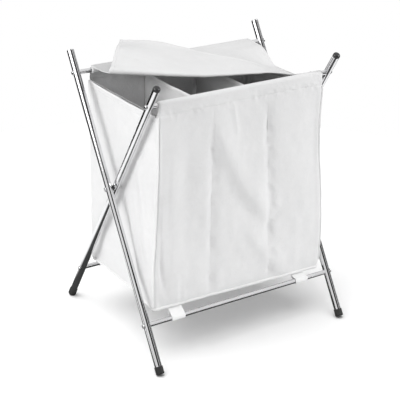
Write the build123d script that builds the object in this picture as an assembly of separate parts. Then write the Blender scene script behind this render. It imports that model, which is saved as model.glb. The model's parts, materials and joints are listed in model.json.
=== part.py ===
from build123d import *
import os
from math import cos, radians, sin

# A folding laundry sorter: two crossed tube frames that turn on one pivot at each end,
# and a three-compartment fabric bag that hangs from the two top bars.
#
# Axes: +X along the bars, +Y towards the back, +Z up.
# Origin: on the floor, under the middle of the sorter.
#
# The outer frame leans back: its top bar is at the back and its feet are at the front.
# The inner frame leans forward: its top bar is at the front and its feet are at the back.

# ------------------------------------------------------------ driving dimensions
# Frames, in millimetres and degrees.
LEAN = 31.3                   # each leg's angle from the vertical with the bag taut
LEG_SPACING = 600.0           # between the axes of the two outer legs
PIVOT_TO_TOP_BAR = 319.0      # these four lengths run along the leg
PIVOT_TO_BOTTOM_BAR = 370.0
TUBE_ABOVE_TOP_BAR = 61.0     # tube beyond the top bar's axis
LEG_BELOW_BOTTOM_BAR = 131.0  # leg and foot beyond the bottom bar's axis
LEG_DIAMETER = 19.0
LEG_WALL = 1.0
BAR_DIAMETER = 12.7
BAR_WALL = 0.9
COPE_GAP = 0.1                # between a bar's saddle-cut end and the leg it meets

# Feet and the ends of the legs.
FOOT_WALL = 1.8               # rubber round the tube
FOOT_LENGTH = 20.5
FOOT_SOLE = 5.0               # rubber under the end of the tube
FOOT_EDGE = 1.5               # rounding of the sole's edge
FOOT_LIP = 0.8                # rounding of the foot's upper edge
FOOT_FLAT = 1.3               # how much of the lowest edge is flat where it stands
FOOT_FIT = 0.05               # radial gap between tube and foot
CAP_OVERHANG = 0.3            # how far the black cap stands out round the tube
CAP_HEIGHT = 9.0
CAP_DOME = 6.0                # rounding of the black cap
PLUG_SETBACK = 0.3            # how far the silver plug stays inside the tube's outline
PLUG_HEIGHT = 2.2
PLUG_DOME = 1.2               # rounding of the silver plug
STEM_LENGTH = 12.0            # part of a cap or plug inside the tube
STEM_FIT = 0.05               # radial gap between stem and tube

# Bolts.
BOLT_DIAMETER = 6.0
BOLT_FIT = 0.05               # radial gap between a bolt and the holes it passes
HEAD_DIAMETER = 12.0
HEAD_HEIGHT = 4.0
HEAD_DOME = 3.2
INSERT_LENGTH = 22.0          # threaded insert inside the end of a bar
INSERT_SETBACK = 3.0          # from the leg's surface to the insert
INSERT_FIT = 0.03
BOLT_GRIP = 14.0              # bolt length held by the insert
SPACER_THICKNESS = 2.0
SPACER_DIAMETER = 15.0
SPACER_GAP = 0.2              # on each side of the spacer
NUT_ACROSS_FLATS = 10.0
NUT_THICKNESS = 5.0
NUT_GAP = 0.3                 # between the nut and the inner leg
BOLT_STAND_OUT = 0.6          # bolt end beyond the nut

# Bag.
BAG_SIDE_GAP = 6.2            # between the ends of the pivot bolts and the bag
CLOTH = 2.0                   # thickness that stands for the doubled fabric
SLEEVE_EASE = 0.75            # room between a bar and its sleeve
SLEEVE_CLOTH = 1.6
SOFT_GAP = 0.3                # between fabric and what moves against it
SIDE_DROP = 19.3              # from the sleeves down to the side panels' edges
FLOOR_RISE = 22.15            # from the bottom bars up to the bag's underside
COMPARTMENTS = 3
STRAP_WIDTH = 42.0
STRAP_INSET = 31.0            # from the bag's side to the nearer edge of a strap
STRAP_CLOTH = 1.5
STRAP_EASE = 0.4              # room between a bar and its strap

# Cover, folded back on itself along a crease that runs from left to front right.
COVER_REACH = 3.5             # how far the cover passes the front bar's axis
COVER_CLOTH = 3.0
CREASE_START = 94.0           # along the left edge, from the back bar to the crease
CREASE_RISE = 22.0            # height of the folded part at the left end of the crease
CREASE_END_RISE = 2.0         # the same at the right end
CORNER_INSET = 150.0          # where the turned-back corner lies, from the bag's left side
CORNER_OVERHANG = 24.0        # and how far behind the back bar
CORNER_RISE = 36.0            # and how high above the lower layer

# ------------------------------------------------------------ derived dimensions
LEG_RADIUS = LEG_DIAMETER / 2
LEG_BORE = LEG_RADIUS - LEG_WALL
BAR_RADIUS = BAR_DIAMETER / 2
BAR_BORE = BAR_RADIUS - BAR_WALL
PIVOT_TO_TUBE_TOP = PIVOT_TO_TOP_BAR + TUBE_ABOVE_TOP_BAR
PIVOT_TO_FOOT_END = PIVOT_TO_BOTTOM_BAR + LEG_BELOW_BOTTOM_BAR
FOOT_RADIUS = LEG_RADIUS + FOOT_WALL
BOLT_RADIUS = BOLT_DIAMETER / 2
HOLE_RADIUS = BOLT_RADIUS + BOLT_FIT
FOOT_END_HEIGHT = FOOT_RADIUS * sin(radians(LEAN)) - FOOT_FLAT
PIVOT_HEIGHT = PIVOT_TO_FOOT_END * cos(radians(LEAN)) + FOOT_END_HEIGHT
OUTER_X = LEG_SPACING / 2
INNER_X = OUTER_X - LEG_DIAMETER - SPACER_THICKNESS - 2 * SPACER_GAP
TOP_BAR_Y = PIVOT_TO_TOP_BAR * sin(radians(LEAN))
TOP_BAR_Z = PIVOT_HEIGHT + PIVOT_TO_TOP_BAR * cos(radians(LEAN))
BOTTOM_BAR_Y = PIVOT_TO_BOTTOM_BAR * sin(radians(LEAN))
BOTTOM_BAR_Z = PIVOT_HEIGHT - PIVOT_TO_BOTTOM_BAR * cos(radians(LEAN))
SLEEVE_BORE = BAR_RADIUS + SLEEVE_EASE
SLEEVE_RADIUS = SLEEVE_BORE + SLEEVE_CLOTH
PIVOT_BOLT_END = INNER_X - LEG_RADIUS - NUT_GAP - NUT_THICKNESS - BOLT_STAND_OUT
BAG_HALF_WIDTH = PIVOT_BOLT_END - BAG_SIDE_GAP
WALL_INSIDE_Y = TOP_BAR_Y + SLEEVE_RADIUS + SOFT_GAP
WALL_OUTSIDE_Y = WALL_INSIDE_Y + CLOTH
SIDE_TOP_Z = TOP_BAR_Z - SLEEVE_RADIUS - SIDE_DROP
BAG_FLOOR_Z = BOTTOM_BAR_Z + BAR_RADIUS + FLOOR_RISE
COVER_FRONT_Y = -TOP_BAR_Y - COVER_REACH

# Each frame: the distance of its legs from the middle, and which way it leans.
FRAMES = {"outer": (OUTER_X, -1), "inner": (INNER_X, 1)}
SIDES = {"left": -1, "right": 1}

parts = {}


# ------------------------------------------------------------ helpers
def leg_place(x, lean_sign):
    """The frame of a leg: its origin is the pivot, and its Z axis runs up the leg."""
    return Location((x, 0, PIVOT_HEIGHT), (lean_sign * LEAN, 0, 0))


def rod_x(radius, x_from, x_to, z=0.0):
    """A round bar along X at height z in a leg's frame."""
    middle = Pos((x_from + x_to) / 2, 0, z)
    return middle * Rot(0, 90, 0) * Cylinder(radius, abs(x_to - x_from))


def tube_z(outer_radius, inner_radius, z_low, z_high):
    """A round tube along Z between two heights."""
    height = z_high - z_low
    ring = Cylinder(outer_radius, height) - Cylinder(inner_radius, 2 * height)
    return Pos(0, 0, (z_low + z_high) / 2) * ring


def domed_head(radius, height, dome):
    """A round head that stands on z = 0, with its upper edge rounded."""
    head = Pos(0, 0, height / 2) * Cylinder(radius, height)
    return fillet(head.edges().sort_by(Axis.Z)[-1], dome)


def box_between(low, high):
    """A box given by its lowest and highest corners."""
    size = [b - a for a, b in zip(low, high)]
    centre = [(a + b) / 2 for a, b in zip(low, high)]
    return Pos(*centre) * Box(*size)


# ------------------------------------------------------------ legs and bars
def leg():
    """One leg tube, with cross holes for its pivot and its two bars."""
    tube_end = PIVOT_TO_FOOT_END - FOOT_SOLE
    tube = tube_z(LEG_RADIUS, LEG_BORE, -tube_end, PIVOT_TO_TUBE_TOP)
    for z in (0, PIVOT_TO_TOP_BAR, -PIVOT_TO_BOTTOM_BAR):
        tube -= rod_x(HOLE_RADIUS, -LEG_DIAMETER, LEG_DIAMETER, z)
    return tube


def bar(frame_x, z):
    """One cross bar, saddle-cut at both ends to fit round its legs."""
    solid = rod_x(BAR_RADIUS, -frame_x, frame_x, z)
    for side in SIDES.values():
        solid -= Pos(side * frame_x, 0, z) * Cylinder(LEG_RADIUS + COPE_GAP, 4 * LEG_DIAMETER)
    return solid - rod_x(BAR_BORE, -frame_x, frame_x, z)


def bar_insert(frame_x, side, z):
    """The threaded insert pressed into one end of a bar."""
    x_out = frame_x - LEG_RADIUS - INSERT_SETBACK
    insert = rod_x(BAR_BORE - INSERT_FIT, side * x_out, side * (x_out - INSERT_LENGTH), z)
    hole_end = x_out - BOLT_GRIP
    return insert - rod_x(BOLT_RADIUS, side * (x_out + 1), side * hole_end, z)


def bolt(side, x_head, x_end, z):
    """A dome-headed bolt along X, with its head on the outside of a leg."""
    shank = rod_x(BOLT_RADIUS, side * x_head, side * x_end, z)
    head = domed_head(HEAD_DIAMETER / 2, HEAD_HEIGHT, HEAD_DOME)
    return shank + Pos(side * x_head, 0, z) * Rot(0, side * 90, 0) * head


def make_frames():
    for name, (frame_x, lean_sign) in FRAMES.items():
        middle = leg_place(0, lean_sign)
        bars = {"outer": ("top_back_bar", "bottom_front_bar"),
                "inner": ("top_front_bar", "bottom_back_bar")}[name]
        inserts, bolts = [], []
        for bar_name, z in zip(bars, (PIVOT_TO_TOP_BAR, -PIVOT_TO_BOTTOM_BAR)):
            parts[bar_name] = middle * bar(frame_x, z)
            for side in SIDES.values():
                inserts.append(middle * bar_insert(frame_x, side, z))
                x_end = frame_x - LEG_RADIUS - INSERT_SETBACK - BOLT_GRIP
                bolts.append(middle * bolt(side, frame_x + LEG_RADIUS, x_end, z))
        parts[f"{name}_frame_bar_inserts"] = Compound(children=inserts)
        parts[f"{name}_frame_bolts"] = Compound(children=bolts)
        for side_name, side in SIDES.items():
            parts[f"{name}_leg_{side_name}"] = leg_place(side * frame_x, lean_sign) * leg()


# ------------------------------------------------------------ ends of the legs
def foot():
    """A rubber foot in a leg's frame, pushed over the lower end of the tube."""
    low = -PIVOT_TO_FOOT_END
    body = Pos(0, 0, low + FOOT_LENGTH / 2) * Cylinder(FOOT_RADIUS, FOOT_LENGTH)
    rims = body.edges().sort_by(Axis.Z)
    body = fillet(rims[0], FOOT_EDGE)
    body = fillet(body.edges().sort_by(Axis.Z)[-1], FOOT_LIP)
    socket = Cylinder(LEG_RADIUS + FOOT_FIT, FOOT_LENGTH)
    return body - Pos(0, 0, low + FOOT_SOLE + FOOT_LENGTH / 2) * socket


def leg_end(radius, height, dome):
    """A cap or plug in a leg's frame, with a stem inside the upper end of the tube."""
    head = domed_head(radius, height, dome)
    stem = Pos(0, 0, -STEM_LENGTH / 2) * Cylinder(LEG_BORE - STEM_FIT, STEM_LENGTH)
    return Pos(0, 0, PIVOT_TO_TUBE_TOP) * (head + stem)


def make_leg_ends():
    floor_block = Pos(0, 0, -LEG_SPACING / 2) * Box(2 * LEG_SPACING, 2 * LEG_SPACING, LEG_SPACING)
    for side_name, side in SIDES.items():
        outer = leg_place(side * OUTER_X, FRAMES["outer"][1])
        inner = leg_place(side * INNER_X, FRAMES["inner"][1])
        parts[f"foot_front_{side_name}"] = outer * foot() - floor_block
        parts[f"foot_back_{side_name}"] = inner * foot() - floor_block
        parts[f"top_plug_{side_name}"] = outer * leg_end(LEG_RADIUS - PLUG_SETBACK, PLUG_HEIGHT, PLUG_DOME)
        parts[f"top_cap_{side_name}"] = inner * leg_end(LEG_RADIUS + CAP_OVERHANG, CAP_HEIGHT, CAP_DOME)


# ------------------------------------------------------------ pivots
def pivot_nut(side):
    """The hexagonal nut on the inner side of an inner leg."""
    x_face = INNER_X - LEG_RADIUS - NUT_GAP
    hexagon = RegularPolygon(NUT_ACROSS_FLATS / 2, 6, major_radius=False)
    blank = extrude(hexagon, NUT_THICKNESS) - Cylinder(BOLT_RADIUS, 4 * NUT_THICKNESS)
    return Pos(side * x_face, 0, 0) * Rot(0, -side * 90, 0) * blank


def make_pivots():
    centre = leg_place(0, FRAMES["outer"][1])
    spacer_out = OUTER_X - LEG_RADIUS - SPACER_GAP
    for side_name, side in SIDES.items():
        spacer = rod_x(SPACER_DIAMETER / 2, side * spacer_out, side * (spacer_out - SPACER_THICKNESS))
        spacer -= rod_x(HOLE_RADIUS, side * OUTER_X, side * INNER_X)
        parts[f"pivot_bolt_{side_name}"] = centre * bolt(side, OUTER_X + LEG_RADIUS, PIVOT_BOLT_END, 0)
        parts[f"pivot_spacer_{side_name}"] = centre * spacer
        parts[f"pivot_nut_{side_name}"] = centre * pivot_nut(side)


# ------------------------------------------------------------ bag
def sleeve(y):
    """The fabric sleeve round a top bar."""
    tube = tube_z(SLEEVE_RADIUS, SLEEVE_BORE, -BAG_HALF_WIDTH, BAG_HALF_WIDTH)
    return Pos(0, y, TOP_BAR_Z) * Rot(0, 90, 0) * tube


def cross_panel(x_from, x_to):
    """A panel across the bag, from the front wall to the back wall."""
    return box_between((x_from, -WALL_INSIDE_Y, BAG_FLOOR_Z), (x_to, WALL_INSIDE_Y, SIDE_TOP_Z))


def make_bag():
    half = BAG_HALF_WIDTH
    inside = half - CLOTH
    parts["front_sleeve"] = sleeve(-TOP_BAR_Y)
    parts["back_sleeve"] = sleeve(TOP_BAR_Y)
    parts["bag_front_panel"] = box_between(
        (-half, -WALL_OUTSIDE_Y, BAG_FLOOR_Z), (half, -WALL_INSIDE_Y, TOP_BAR_Z))
    parts["bag_back_panel"] = box_between(
        (-half, WALL_INSIDE_Y, BAG_FLOOR_Z), (half, WALL_OUTSIDE_Y, TOP_BAR_Z))
    parts["bag_left_panel"] = cross_panel(-half, -inside)
    parts["bag_right_panel"] = cross_panel(inside, half)
    pitch = 2 * inside / COMPARTMENTS
    divider_walls = []
    for number in range(1, COMPARTMENTS):
        x = -inside + number * pitch
        wall = box_between((x - CLOTH / 2, -WALL_INSIDE_Y, BAG_FLOOR_Z + CLOTH),
                           (x + CLOTH / 2, WALL_INSIDE_Y, SIDE_TOP_Z))
        divider_walls.append(wall)
    for name, wall in zip(("divider_left", "divider_right"), divider_walls):
        parts[name] = wall
    parts["bag_floor"] = box_between(
        (-inside, -WALL_INSIDE_Y, BAG_FLOOR_Z), (inside, WALL_INSIDE_Y, BAG_FLOOR_Z + CLOTH))


# ------------------------------------------------------------ straps
def strap_loop(radius, tip_radius, tip_y):
    """The outline of a loop from the bag's lower edge round a bottom bar, in the Y-Z plane."""
    round_bar = Pos(BOTTOM_BAR_Y, BOTTOM_BAR_Z) * Circle(radius)
    at_bag = Pos(tip_y, BAG_FLOOR_Z - STRAP_CLOTH) * Circle(tip_radius)
    return make_hull(round_bar.edges() + at_bag.edges())


def strap(x, front):
    """One strap loop, seen along X, extruded to its width."""
    bore = BAR_RADIUS + STRAP_EASE
    tip_y = WALL_INSIDE_Y + CLOTH / 2
    outline = strap_loop(bore + STRAP_CLOTH, STRAP_CLOTH, tip_y)
    opening = strap_loop(bore, STRAP_CLOTH / 8, tip_y - STRAP_CLOTH / 4)
    profile = Plane.YZ * (outline - opening)
    loop = Pos(x - STRAP_WIDTH / 2, 0, 0) * extrude(profile, STRAP_WIDTH, dir=(1, 0, 0))
    return mirror(loop, Plane.XZ) if front else loop


def make_straps():
    for side_name, side in SIDES.items():
        x = side * (BAG_HALF_WIDTH - STRAP_INSET - STRAP_WIDTH / 2)
        parts[f"front_strap_{side_name}"] = strap(x, front=True)
        parts[f"back_strap_{side_name}"] = strap(x, front=False)


# ------------------------------------------------------------ cover
def prism_below(outline, low, plane):
    """The upright prism over an outline, from a height up to a sloping plane."""
    return split(Pos(0, 0, low) * extrude(outline, 2 * CORNER_RISE + CREASE_RISE), plane,
                 keep=Keep.BOTTOM)


def make_cover():
    """The cover: a flat layer from the back bar to the crease, and the folded corner over it."""
    half = BAG_HALF_WIDTH
    low = TOP_BAR_Z + SLEEVE_RADIUS + SOFT_GAP
    top = low + COVER_CLOTH
    crease_left = Vector(-half, TOP_BAR_Y - CREASE_START, top + CREASE_RISE)
    crease_right = Vector(half, COVER_FRONT_Y, top + CREASE_END_RISE)
    corner = Vector(CORNER_INSET - half, TOP_BAR_Y + CORNER_OVERHANG, top + CORNER_RISE)
    back_left, back_right = Vector(-half, TOP_BAR_Y), Vector(half, TOP_BAR_Y)

    def flat(*points):
        return make_face(Polyline(*[(point.X, point.Y) for point in points], close=True))

    layer = Pos(0, 0, low) * extrude(flat(back_left, back_right, crease_right, crease_left),
                                     COVER_CLOTH)
    along_crease = crease_right - crease_left
    upward = along_crease.cross(corner - crease_left).normalized()
    slope = Plane(origin=crease_left, x_dir=along_crease, z_dir=upward)
    slope_inside = Plane(origin=crease_left - Vector(0, 0, COVER_CLOTH), x_dir=along_crease,
                         z_dir=upward)
    inwards = Vector(-along_crease.Y, along_crease.X).normalized() * COVER_CLOTH
    folded = flat(crease_left, crease_right, corner)
    fold = prism_below(folded, low, slope)
    fold -= Pos(inwards) * prism_below(folded, low - COVER_CLOTH, slope_inside)
    parts["cover_flap"] = layer + fold


# ------------------------------------------------------------ build and write
make_frames()
make_leg_ends()
make_pivots()
make_bag()
make_straps()
make_cover()

os.makedirs("parts", exist_ok=True)
for node, shape in parts.items():
    export_step(shape, f"parts/{node}.step")
print(f"{len(parts)} nodes; pivot height {PIVOT_HEIGHT:.1f}, "
      f"top bars at y {TOP_BAR_Y:.1f} z {TOP_BAR_Z:.1f}, "
      f"bottom bars at y {BOTTOM_BAR_Y:.1f} z {BOTTOM_BAR_Z:.1f}")
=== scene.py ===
# %% [markdown]
# # A folding laundry sorter
# Two crossed frames of chromed tube stand on four rubber feet and carry a white fabric bag with
# three compartments. A fabric cover is sewn to the back bar and lies folded back on itself.
# The tubes, bars, bolts, feet and caps come from the CAD model and only get their finishes here.
# Everything made of cloth is worked out below as curved surfaces and replaces the CAD's flat plates.

# %% Load the fixed frame
import json
import math

import bmesh
import bpy
import numpy as np
from mathutils import Matrix, Vector


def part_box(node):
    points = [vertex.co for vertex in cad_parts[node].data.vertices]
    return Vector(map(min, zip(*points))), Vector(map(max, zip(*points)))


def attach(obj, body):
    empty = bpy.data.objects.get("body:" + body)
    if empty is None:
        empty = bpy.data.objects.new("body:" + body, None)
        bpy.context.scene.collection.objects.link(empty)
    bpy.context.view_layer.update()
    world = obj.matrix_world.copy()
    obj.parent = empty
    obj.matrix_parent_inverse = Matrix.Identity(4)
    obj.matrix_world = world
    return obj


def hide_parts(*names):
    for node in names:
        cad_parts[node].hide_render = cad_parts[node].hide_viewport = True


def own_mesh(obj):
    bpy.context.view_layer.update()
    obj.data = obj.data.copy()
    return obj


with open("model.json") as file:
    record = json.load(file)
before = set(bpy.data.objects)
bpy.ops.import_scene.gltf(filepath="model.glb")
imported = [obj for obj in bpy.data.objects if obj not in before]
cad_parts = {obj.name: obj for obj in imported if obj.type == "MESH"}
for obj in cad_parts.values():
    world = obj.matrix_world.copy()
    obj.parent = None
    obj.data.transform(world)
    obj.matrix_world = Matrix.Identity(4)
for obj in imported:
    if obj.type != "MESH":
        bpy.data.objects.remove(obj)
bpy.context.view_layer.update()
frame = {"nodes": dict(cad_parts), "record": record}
nodes = frame["nodes"]

# %% [markdown]
# ## Camera
# A long lens from well back keeps the tubes nearly parallel, as in a catalogue picture. The camera
# stands to the left of the front and looks down on the open bag. A small roll tilts the frame a
# little, and there is no depth of field.

# %% Place the camera
AZIMUTH, ELEVATION, ROLL = (math.radians(a) for a in (-34.15, 23.39, 1.22))
CAMERA_DISTANCE = 3.456
LOOK_AT = Vector((-0.0109, 0.0, 0.3363))
LENS, SENSOR = 112.32, 36.0

away = Vector((math.sin(AZIMUTH) * math.cos(ELEVATION), -math.cos(AZIMUTH) * math.cos(ELEVATION),
               math.sin(ELEVATION)))
camera_data = bpy.data.cameras.new("camera")
camera_data.lens = LENS
camera_data.sensor_width = SENSOR
camera_data.clip_end = 50
camera = bpy.data.objects.new("camera", camera_data)
bpy.context.scene.collection.objects.link(camera)
turn = (-away).to_track_quat("-Z", "Y").to_matrix() @ Matrix.Rotation(ROLL, 3, "Z")
camera.matrix_world = Matrix.Translation(LOOK_AT + away * CAMERA_DISTANCE) @ turn.to_4x4()
bpy.context.scene.camera = camera
print("camera at", [round(x, 3) for x in camera.location], "lens", round(camera_data.lens, 1))

# %% [markdown]
# ## Sizes
# Every cloth piece takes its place from the CAD nodes: the bars say where the sleeves go, and the
# plates of the CAD bag say where its walls and floor are.

# %% Read the sizes from the frame
front_low, front_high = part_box("bag_front_panel")
back_low, back_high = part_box("bag_back_panel")
front_bar_low, front_bar_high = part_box("top_front_bar")
sleeve_low, sleeve_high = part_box("front_sleeve")
_, side_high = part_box("bag_left_panel")
bottom_bar_low, bottom_bar_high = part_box("bottom_front_bar")

HALF_WIDTH = front_high.x
WALL_Y = back_high.y
TOP_Y = -(sleeve_low.y + sleeve_high.y) / 2
TOP_Z = (sleeve_low.z + sleeve_high.z) / 2
SLEEVE_RADIUS = (sleeve_high.z - sleeve_low.z) / 2
BAG_FLOOR_Z = front_low.z
SIDE_TOP_Z = side_high.z
BAR_RADIUS = (front_bar_high.z - front_bar_low.z) / 2
LOW_BAR_Y = -(bottom_bar_low.y + bottom_bar_high.y) / 2
LOW_BAR_Z = (bottom_bar_low.z + bottom_bar_high.z) / 2
print("bag half width", round(HALF_WIDTH, 4), "wall", round(WALL_Y, 4), "floor", round(BAG_FLOOR_Z, 4))
print("top bars", round(TOP_Y, 4), round(TOP_Z, 4), "bottom bars", round(LOW_BAR_Y, 4), round(LOW_BAR_Z, 4))

# %% [markdown]
# ## Tools for surfaces
# A cloth piece is a grid of points: every row and column is a line that runs over the cloth. The
# points are worked out as whole arrays, and each cell of the grid becomes one face. The cloth's own
# lengths along the two directions go into a UV map, in metres, so that the weave follows the cloth.

# %% Tools for surfaces
def ease(x, low, high):
    """0 below low, 1 above high, and the smooth curve 3t^2 - 2t^3 between them."""
    t = np.clip((x - low) / (high - low), 0, 1)
    return t * t * (3 - 2 * t)


def bump(x, width):
    """The bell curve exp(-(x / width)^2)."""
    return np.exp(-(x / width) ** 2)


TABLE_SIZE = 97


def crumple(u, v, cell_u, cell_v, seed):
    """Smooth random heights from -1 to 1: random values at the corners of cells, eased between them."""
    table = np.random.default_rng(seed).uniform(-1, 1, (TABLE_SIZE, TABLE_SIZE))
    a, b = u / cell_u, v / cell_v
    i, j = np.floor(a).astype(int), np.floor(b).astype(int)
    fa, fb = ease(a - i, 0, 1), ease(b - j, 0, 1)

    def at(di, dj):
        return table[(i + di) % TABLE_SIZE, (j + dj) % TABLE_SIZE]

    near = at(0, 0) * (1 - fa) + at(1, 0) * fa
    far = at(0, 1) * (1 - fa) + at(1, 1) * fa
    return near * (1 - fb) + far * fb


def through(x, places, values):
    """A smooth curve through the given values: cubic pieces whose slopes come from the neighbours."""
    places, values = np.asarray(places, float), np.asarray(values, float)
    slopes = np.gradient(values, places)
    k = np.clip(np.searchsorted(places, x) - 1, 0, len(places) - 2)
    h = places[k + 1] - places[k]
    t = np.clip((x - places[k]) / h, 0, 1)
    rise = values[k + 1] - values[k]
    return (values[k] + rise * (3 * t**2 - 2 * t**3)
            + h * slopes[k] * (t - 2 * t**2 + t**3) + h * slopes[k + 1] * (t**3 - t**2))


def numbered(rows, cols):
    """A grid of the numbers 0, 1, 2 and so on, row by row."""
    return np.arange(rows * cols).reshape(rows, cols)


def grid_faces(index):
    """Each cell of a grid of point numbers as a face: the numbers of its four corners."""
    return np.stack([index[:-1, :-1], index[:-1, 1:], index[1:, 1:], index[1:, :-1]], -1).reshape(-1, 4)


def surface(name, points, u_line, v_line, round_u=False, round_v=False, flip=False):
    """A mesh from a grid of points (rows, columns, 3); round_u or round_v joins the last to the first."""
    index = numbered(*points.shape[:2])
    if round_u:
        index = np.hstack([index, index[:, :1]])
    if round_v:
        index = np.vstack([index, index[:1]])
    grid_uv = np.stack(np.meshgrid(u_line, v_line), -1).reshape(-1, 2)
    faces, uv_faces = grid_faces(index), grid_faces(numbered(len(v_line), len(u_line)))
    if flip:
        faces, uv_faces = faces[:, ::-1], uv_faces[:, ::-1]
    return mesh_object(name, points.reshape(-1, 3), faces.tolist(), grid_uv[uv_faces].reshape(-1, 2))


def mesh_object(name, points, faces, corner_uv=None):
    """A smooth-shaded mesh object from an array of points and a list of faces, with its UV map."""
    mesh = bpy.data.meshes.new(name)
    mesh.from_pydata(points.tolist(), [], faces)
    if corner_uv is not None:
        layer = mesh.uv_layers.new(name="cloth")
        layer.uv.foreach_set("vector", corner_uv.astype(np.float32).ravel())
    mesh.shade_smooth()
    mesh.update()
    piece = bpy.data.objects.new(name, mesh)
    bpy.context.scene.collection.objects.link(piece)
    return piece


def lengths(points):
    """Distance along a line of points, from its first point."""
    return np.concatenate([[0], np.cumsum(np.linalg.norm(np.diff(points, axis=0), axis=1))])


def round_lengths(points):
    """The same for a line that closes on itself, with the whole way round as the last value."""
    return lengths(np.vstack([points, points[:1]]))


def thicken(piece, thickness, offset=-1.0):
    """Gives a single layer of cloth its thickness, with a closed rim."""
    solid = piece.modifiers.new("thickness", "SOLIDIFY")
    solid.thickness, solid.offset, solid.use_rim = thickness, offset, True
    solid.use_even_offset = False


UP, ACROSS = np.array([[0.0, 0.0, 1.0]]), np.array([[1.0, 0.0, 0.0]])
BAND_SIDES = 12


def band(name, path, out, across, width, height, closed=False):
    """An oval band carried along a path: out and across are the unit directions of its two radii."""
    angle = np.linspace(0, 2 * np.pi, BAND_SIDES, endpoint=False)[:, None]
    ring = np.cos(angle) * across[:, None] * width / 2 + np.sin(angle) * out[:, None] * height / 2
    points = path[:, None] + ring
    around = np.linspace(0, math.pi * (width + height) / 2, BAND_SIDES + 1)
    along = round_lengths(path) if closed else lengths(path)
    if not closed:
        ends = path[[0, -1], None].repeat(BAND_SIDES, 1)
        points = np.concatenate([ends[:1], points, ends[1:]])
        along = np.concatenate([along[:1], along, along[-1:]])
    return outward(surface(name, points, around, along, round_u=True, round_v=closed))


def outward(piece):
    """Merges doubled points and turns every face of a closed mesh outwards."""
    work = bmesh.new()
    work.from_mesh(piece.data)
    bmesh.ops.remove_doubles(work, verts=work.verts, dist=1e-6)
    bmesh.ops.recalc_face_normals(work, faces=work.faces)
    work.to_mesh(piece.data)
    work.free()
    piece.data.shade_smooth()
    return piece


STITCH_LENGTH, STITCH_PITCH, STITCH_WIDTH = 0.0030, 0.0042, 0.0007
STITCH_RINGS, STITCH_SIDES = 4, 6


def unit(directions):
    """The same directions, each with length 1."""
    return directions / np.linalg.norm(directions, axis=-1, keepdims=True)


def at_places(places, along, rows):
    """Points or directions between the given rows of a line, at places measured along it."""
    return np.stack([np.interp(places, along, column) for column in rows.T], -1)


def stitches(name, lines):
    """Small threads along lines of (points, outward directions): each is a spindle of four rings of
    six points, laid along the line at an even pitch."""
    angle = np.linspace(0, 2 * np.pi, STITCH_SIDES, endpoint=False)[:, None]
    steps, girths = np.array([-0.5, -0.3, 0.3, 0.5]), np.array([0.25, 1.0, 1.0, 0.25])
    index = numbered(STITCH_RINGS, STITCH_SIDES)
    tube = grid_faces(np.hstack([index, index[:, :1]]))
    all_points, all_faces, start = [], [], 0
    for points, out in lines:
        along = lengths(points)
        places = np.arange(STITCH_PITCH / 2, along[-1], STITCH_PITCH)
        ahead, behind = (at_places(places + step, along, points) for step in (1e-3, -1e-3))
        forward = unit(ahead - behind)
        side = unit(np.cross(forward, at_places(places, along, out)))
        ring = np.cos(angle) * side[:, None] + np.sin(angle) * np.cross(side, forward)[:, None]
        shape = (at_places(places, along, points)[:, None, None]
                 + steps[:, None, None] * STITCH_LENGTH * forward[:, None, None]
                 + girths[:, None, None] * STITCH_WIDTH / 2 * ring[:, None])
        first = start + np.arange(len(places))[:, None] * index.size
        all_faces += (tube + first[:, :, None]).reshape(-1, 4).tolist()
        all_faces += (index[0, ::-1] + first).tolist() + (index[-1] + first).tolist()
        all_points.append(shape.reshape(-1, 3))
        start += len(places) * index.size
    return outward(mesh_object(name, np.concatenate(all_points), all_faces))


# %% [markdown]
# ## Shared effects
# Three effects come back in several finishes, so each is a shader node group: the woven threads of
# the cloth, the soft uneven tone of a large piece of fabric, and the fine rubbed marks that handling
# leaves on metal and plastic. A group gives out only masks and heights. The shaders stay outside.

# %% Tools for node groups
def new_group(name, inputs, outputs):
    """An empty shader node group with named inputs and outputs, and its two end nodes."""
    group = bpy.data.node_groups.new(name, "ShaderNodeTree")
    for label, kind, value in inputs:
        socket = group.interface.new_socket(name=label, in_out="INPUT", socket_type=kind)
        if value is not None:
            socket.default_value = value
    for label, kind in outputs:
        group.interface.new_socket(name=label, in_out="OUTPUT", socket_type=kind)
    return group, group.nodes.new("NodeGroupInput"), group.nodes.new("NodeGroupOutput")


def feed(tree, socket, value):
    """Puts a constant on a socket, or links another node's output to it."""
    if isinstance(value, bpy.types.NodeSocket):
        tree.links.new(value, socket)
    else:
        socket.default_value = value


def math_node(tree, operation, *values):
    """One Math node: each of its values is a number or another node's output."""
    node = tree.nodes.new("ShaderNodeMath")
    node.operation = operation
    for socket, value in zip(node.inputs, values):
        feed(tree, socket, value)
    return node.outputs[0]


def noise_node(tree, vector, scale, detail, roughness=0.5):
    """A Noise Texture's value, on the given coordinates."""
    node = tree.nodes.new("ShaderNodeTexNoise")
    for label, value in (("Vector", vector), ("Scale", scale), ("Detail", detail), ("Roughness", roughness)):
        feed(tree, node.inputs[label], value)
    return node.outputs["Fac"]


def ridge_node(tree, value, sharpness):
    """Thin lines where a value passes through 0.5: 1 - |2 value - 1|, raised to a power."""
    off_middle = math_node(tree, "ABSOLUTE", math_node(tree, "MULTIPLY_ADD", value, 2.0, -1.0))
    return math_node(tree, "POWER", math_node(tree, "SUBTRACT", 1.0, off_middle), sharpness)


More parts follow.
